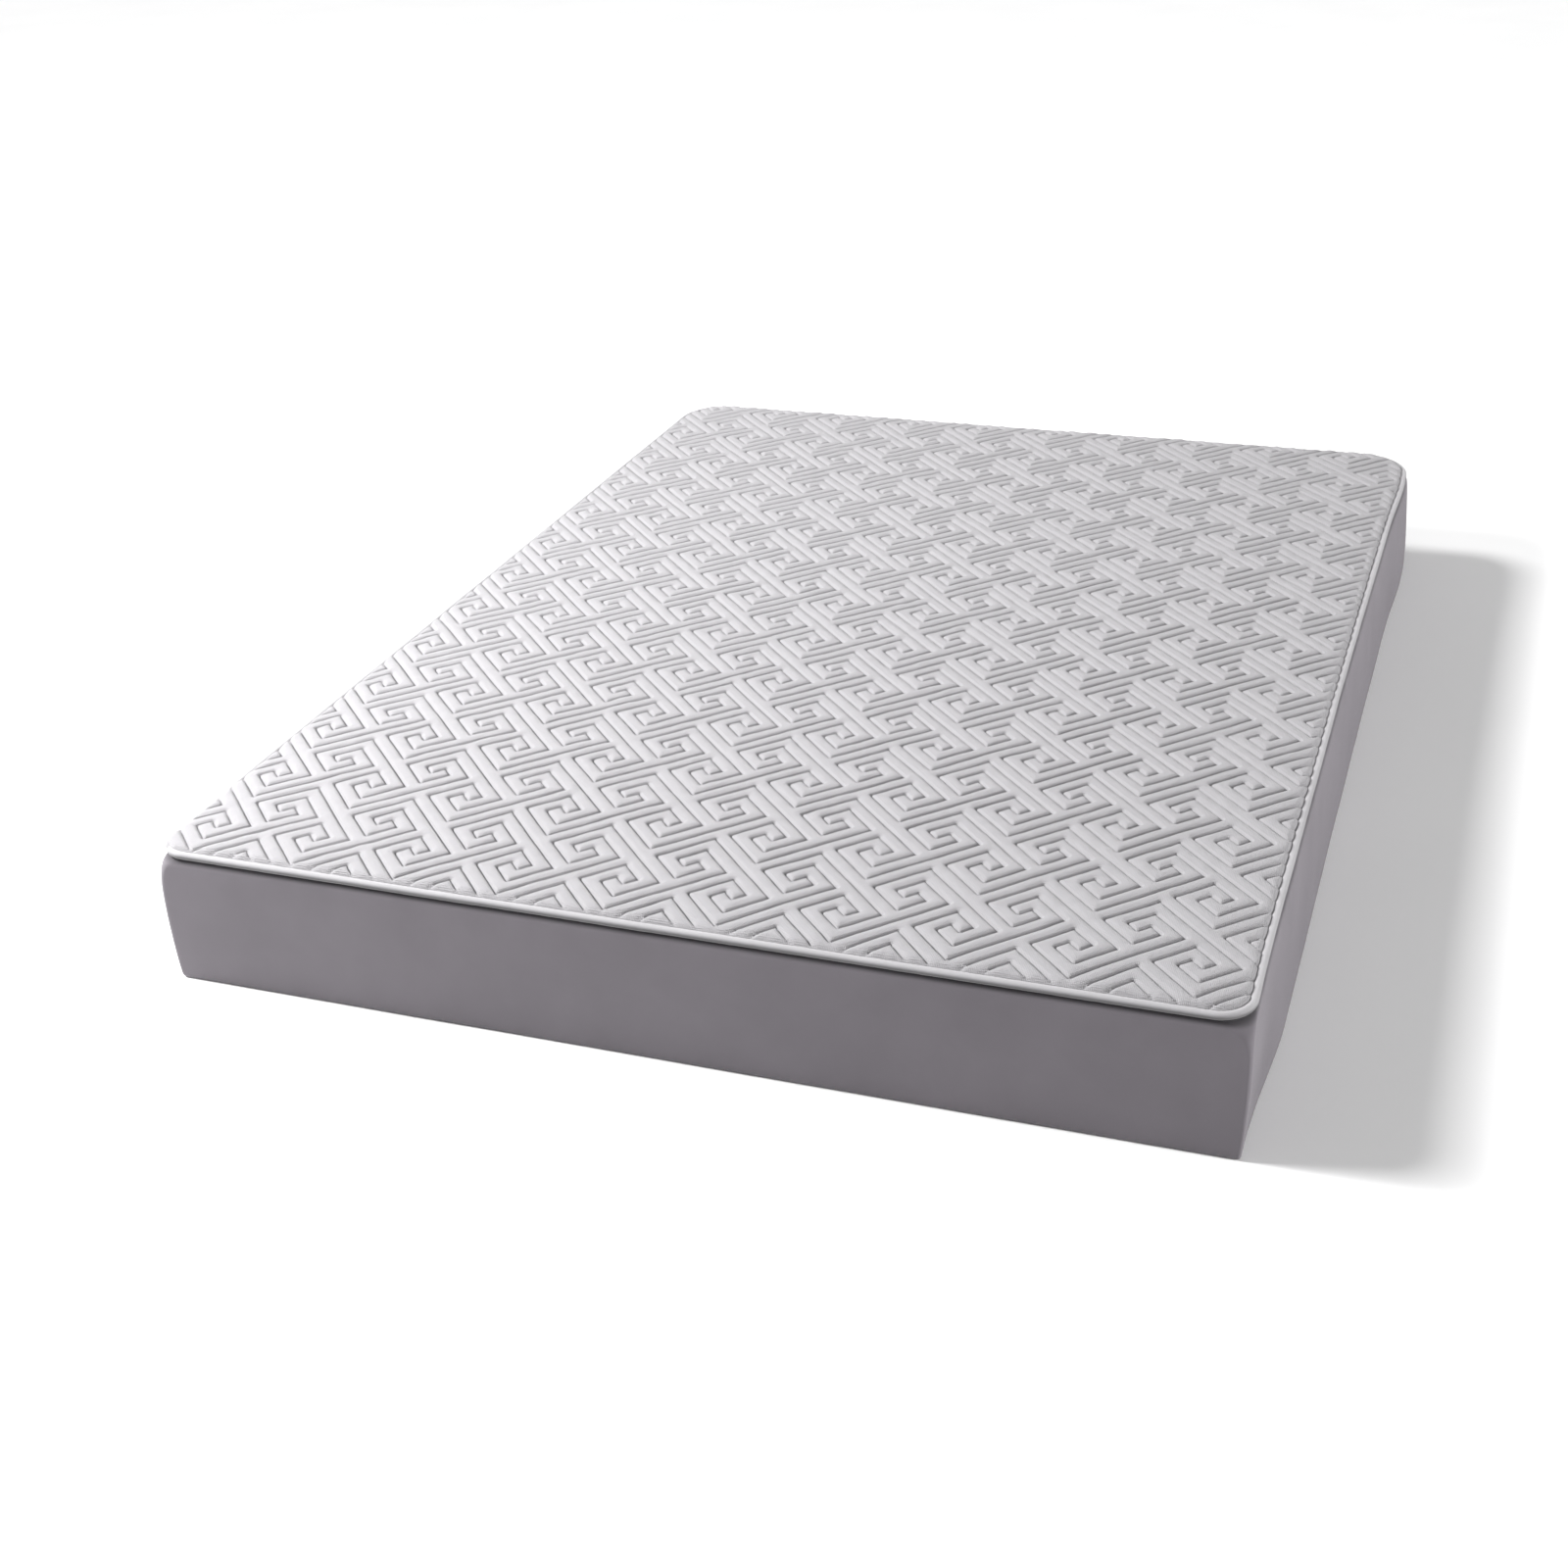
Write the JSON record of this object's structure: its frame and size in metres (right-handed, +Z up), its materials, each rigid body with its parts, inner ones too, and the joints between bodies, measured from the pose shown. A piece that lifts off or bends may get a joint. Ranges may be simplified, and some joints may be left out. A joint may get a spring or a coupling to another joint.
{
  "type": "memory foam mattress",
  "caption": "Rectangular memory foam mattress with a quilted, piped top, a smooth padded border, layered foam core and a zipped cover.",
  "frame": {"origin": "middle of the footprint, on the surface the mattress lies on", "axes": "+X across the width, +Y from the foot end to the head end with the zip, +Z up through the thickness"},
  "size_m": [1.5, 2.0062, 0.205],
  "materials": {
    "quilt_knit": "quilted stretch knit, matt",
    "piping_knit": "smooth knit piping, matt",
    "border_knit": "smooth mauve-grey knit border, matt",
    "grip_fabric": "woven underside with rubbery grip dots, matt",
    "wadding": "loose polyester wadding",
    "backing": "thin non-woven sheet",
    "sleeve_knit": "open white knit, matt",
    "support_foam": "open-cell polyurethane foam",
    "soft_foam": "open-cell polyurethane foam",
    "memory_foam": "viscoelastic polyurethane foam",
    "zip_tape": "woven polyester tape",
    "zip_teeth": "nylon coil, satin",
    "zip_metal": "nickel-plated, satin"
  },
  "bodies": {
    "mattress": {"base_foam": "support_foam", "transition_foam": "soft_foam", "memory_foam": "memory_foam", "inner_sleeve": "sleeve_knit", "quilt_backing": "backing", "quilt_wadding": "wadding", "quilt_face": "quilt_knit", "piping_cord": "wadding", "piping_tape": "piping_knit", "border_strip": "border_knit", "end_panel_upper": "border_knit", "end_panel_lower": "border_knit", "border_padding": "wadding", "bottom_panel": "grip_fabric", "zip_tape_upper": "zip_tape", "zip_tape_lower": "zip_tape", "zip_teeth_upper": "zip_teeth", "zip_teeth_lower": "zip_teeth", "zip_top_stops": "zip_metal", "zip_bottom_stop": "zip_metal"},
    "zip_slider": {"slider_body": "zip_metal"},
    "zip_pull": {"pull_tab": "zip_metal"}
  },
  "joints": [
    {"name": "zip_slide", "type": "slide", "parent": "mattress", "child": "zip_slider", "axis": [1, 0, 0], "range_m": [0, 1.265]},
    {"name": "pull_tab_pivot", "type": "hinge", "parent": "zip_slider", "child": "zip_pull", "pos_m": [-0.6325, 1.00405, 0.042], "axis": [0, 0, 1], "range_deg": [0, 180]}
  ]
}
